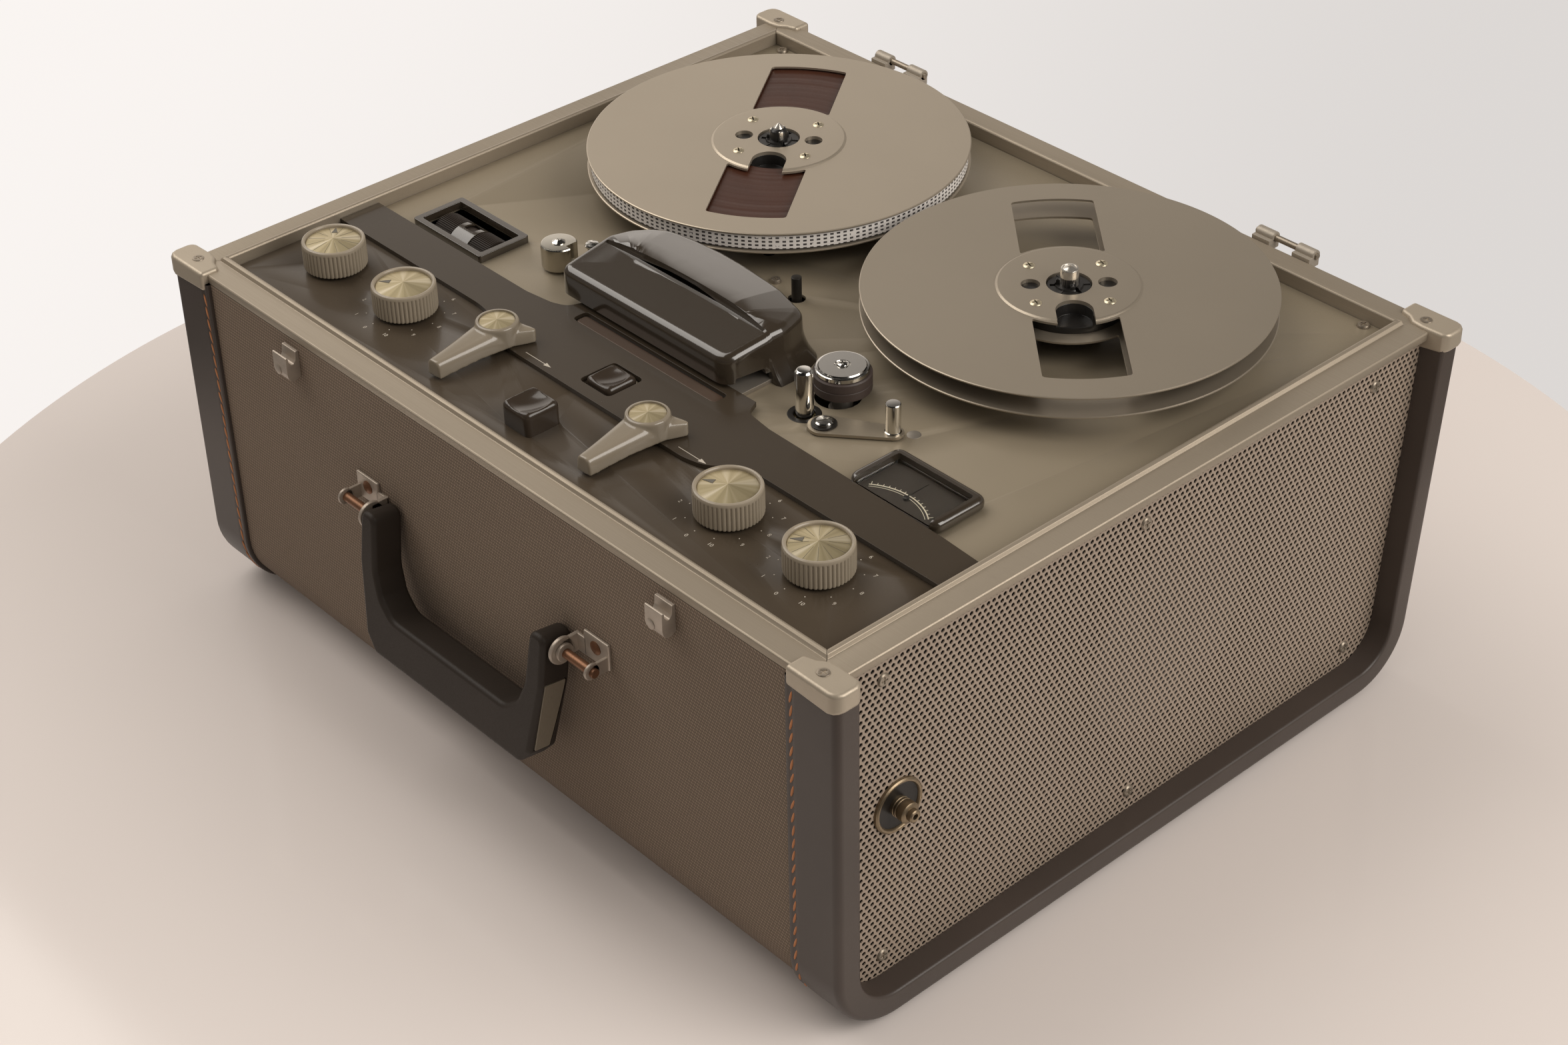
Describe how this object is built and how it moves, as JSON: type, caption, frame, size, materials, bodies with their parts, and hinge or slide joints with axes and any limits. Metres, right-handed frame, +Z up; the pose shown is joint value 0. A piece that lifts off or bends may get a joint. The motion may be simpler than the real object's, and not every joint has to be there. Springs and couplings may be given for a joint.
{
  "type": "reel-to-reel tape recorder",
  "caption": "Portable tape recorder in a tweed and leather case, lid off: reels, head cover, capstan, knobs, levers, buttons, meter, counter window and drop handle.",
  "frame": {"origin": "underside of the case, below the middle of the rim", "axes": "+X to the right seen from the front, +Y to the back, +Z up"},
  "size_m": [0.4366, 0.3898, 0.2003],
  "materials": {
    "plywood": "plain birch plywood",
    "tweed": "olive-brown tweed cloth",
    "leather": "dark brown leather with orange-brown stitches",
    "grille_paint": "taupe paint, perforated",
    "foot_rubber": "matt",
    "rim_aluminium": "brushed satin",
    "cast_caps": "dull cast",
    "screw_steel": "plated",
    "hinge_steel": "plated, dulled",
    "handle_vinyl": "dark grey-brown, satin",
    "socket_metal": "dull brass and black",
    "speaker_black": "black paint and paper cone",
    "chassis_steel": "plain plated steel",
    "valve_glass": "clear glass",
    "transformer_paint": "dark enamel",
    "motor_paint": "grey enamel",
    "brass": "turned",
    "belt_rubber": "matt",
    "polished_steel": "polished",
    "deck_paint": "champagne grey, satin",
    "panel_brown": "dark brown, satin",
    "strip_brown": "dark brown, glossy",
    "cover_brown": "dark brown, glossy",
    "bronze": "copper-brown, satin",
    "roller_rubber": "matt black-brown",
    "black_plastic": "black",
    "meter_card": "cream dial on a dark can",
    "window_glass": "clear",
    "table_black": "black",
    "reel_champagne": "spun, champagne",
    "hub_black": "black",
    "tape_brown": "brown tape with a pale patterned leader",
    "knob_taupe": "taupe with brass disc",
    "lever_taupe": "taupe with brass disc",
    "button_brown": "dark brown, glossy"
  },
  "bodies": {
    "case": {"case_shell": "plywood", "case_cloth": "tweed", "leather_bindings": "leather", "end_boards": "plywood", "side_grilles": "grille_paint", "rubber_feet": "foot_rubber", "rim_bars": "rim_aluminium", "corner_caps": "cast_caps", "case_screws": "screw_steel", "lid_hinges": "hinge_steel", "latch_catches": "cast_caps", "handle_brackets": "hinge_steel", "side_sockets": "socket_metal", "speakers": "speaker_black", "amplifier_chassis": "chassis_steel", "amplifier_valves": "valve_glass", "transformer": "transformer_paint", "motor": "motor_paint", "drive_belt": "belt_rubber", "capstan_bearing": "brass", "deck_plate": "deck_paint", "control_panel": "panel_brown", "trim_strip": "strip_brown", "head_cover": "cover_brown", "head_plate": "chassis_steel", "tape_heads": "polished_steel", "head_gate": "bronze", "tape_guides": "polished_steel", "window_bezel": "panel_brown", "meter_bezel": "cover_brown", "meter_movement": "meter_card", "meter_glass": "window_glass", "control_pots": "chassis_steel"},
    "handle": {"handle_grip": "handle_vinyl", "handle_inlays": "rim_aluminium"},
    "supply": {"supply_table": "table_black", "supply_reel": "reel_champagne", "supply_hub": "hub_black", "tape_pack": "tape_brown"},
    "takeup": {"takeup_table": "table_black", "takeup_reel": "reel_champagne", "takeup_hub": "hub_black"},
    "capstan_drive": {"capstan": "polished_steel", "flywheel": "chassis_steel"},
    "motor_rotor": {"motor_pulley": "brass"},
    "pinch": {"pinch_arm": "chassis_steel"},
    "pinch_wheel": {"pinch_roller": "roller_rubber", "pinch_disc": "polished_steel"},
    "tension": {"tension_arm": "polished_steel"},
    "shift": {"shift_arm": "black_plastic"},
    "counter": {"counter_wheels": "black_plastic"},
    "needle": {"meter_needle": "black_plastic"},
    "selector": {"selector_knob": "knob_taupe"},
    "volume": {"volume_knob": "knob_taupe"},
    "radio": {"radio_knob": "knob_taupe"},
    "microphone": {"microphone_knob": "knob_taupe"},
    "fast_wind": {"fast_wind_lever": "lever_taupe"},
    "play": {"play_lever": "lever_taupe"},
    "stop": {"stop_button": "button_brown"},
    "record": {"record_button": "button_brown"}
  },
  "joints": [
    {"name": "handle_swing", "type": "hinge", "parent": "case", "child": "handle", "pos_m": [0, -0.187, 0.114], "axis": [-1, 0, 0], "range_deg": [-8, 150]},
    {"name": "supply_spin", "type": "hinge", "parent": "case", "child": "supply", "pos_m": [-0.0871, 0.0685, 0.169], "axis": [0, 0, 1], "continuous": true},
    {"name": "takeup_spin", "type": "hinge", "parent": "case", "child": "takeup", "pos_m": [0.0957, 0.0685, 0.169], "axis": [0, 0, 1], "continuous": true},
    {"name": "capstan_spin", "type": "hinge", "parent": "case", "child": "capstan_drive", "pos_m": [0.0676, -0.058, 0.1455], "axis": [0, 0, 1], "continuous": true},
    {"name": "rotor_spin", "type": "hinge", "parent": "case", "child": "motor_rotor", "pos_m": [0.0043, 0.0605, 0.1455], "axis": [0, 0, 1], "continuous": true},
    {"name": "play_turn", "type": "hinge", "parent": "case", "child": "play", "pos_m": [0.039, -0.117, 0.1725], "axis": [0, 0, 1], "range_deg": [0, 30]},
    {"name": "pinch_swing", "type": "hinge", "parent": "case", "child": "pinch", "pos_m": [0.1096, -0.0366, 0.1675], "axis": [0, 0, 1], "range_deg": [0, 6.6]},
    {"name": "pinch_spin", "type": "hinge", "parent": "pinch", "child": "pinch_wheel", "pos_m": [0.0676, -0.0366, 0.177], "axis": [0, 0, 1], "continuous": true},
    {"name": "fast_wind_turn", "type": "hinge", "parent": "case", "child": "fast_wind", "pos_m": [-0.06, -0.117, 0.1725], "axis": [0, 0, 1], "range_deg": [-30, 30]},
    {"name": "shift_swing", "type": "hinge", "parent": "case", "child": "shift", "pos_m": [-0.0402, 0.0196, 0.1675], "axis": [0, 0, 1], "range_deg": [-1.5, 1.5]},
    {"name": "tension_swing", "type": "hinge", "parent": "case", "child": "tension", "pos_m": [0.081, -0.0595, 0.169], "axis": [0, 0, 1], "range_deg": [-14, 40]},
    {"name": "counter_turn", "type": "hinge", "parent": "case", "child": "counter", "pos_m": [-0.147, -0.066, 0.1615], "axis": [1, 0, 0], "continuous": true},
    {"name": "needle_swing", "type": "hinge", "parent": "case", "child": "needle", "pos_m": [0.142, -0.0724, 0.171], "axis": [0, 0, 1], "range_deg": [-40, 40], "stiffness_Nm_per_rad": 0.00002},
    {"name": "selector_turn", "type": "hinge", "parent": "case", "child": "selector", "pos_m": [-0.1635, -0.1285, 0.169], "axis": [0, 0, 1], "range_deg": [-75, 75]},
    {"name": "volume_turn", "type": "hinge", "parent": "case", "child": "volume", "pos_m": [-0.111, -0.1285, 0.169], "axis": [0, 0, 1], "range_deg": [-140, 140]},
    {"name": "radio_turn", "type": "hinge", "parent": "case", "child": "radio", "pos_m": [0.101, -0.1285, 0.169], "axis": [0, 0, 1], "range_deg": [-140, 140]},
    {"name": "microphone_turn", "type": "hinge", "parent": "case", "child": "microphone", "pos_m": [0.1525, -0.1285, 0.169], "axis": [0, 0, 1], "range_deg": [-140, 140]},
    {"name": "stop_press", "type": "slide", "parent": "case", "child": "stop", "axis": [0, 0, -1], "range_m": [0, 0.0025], "stiffness_N_per_m": 200, "springref_m": -0.001},
    {"name": "record_press", "type": "slide", "parent": "case", "child": "record", "axis": [0, 0, -1], "range_m": [0, 0.0025], "stiffness_N_per_m": 200, "springref_m": -0.001}
  ],
  "couplings": [
    {"joint": "rotor_spin", "follows": "capstan_spin", "ratio": 5.625},
    {"joint": "pinch_swing", "follows": "play_turn", "ratio": 0.22},
    {"joint": "shift_swing", "follows": "fast_wind_turn", "ratio": 0.05}
  ]
}
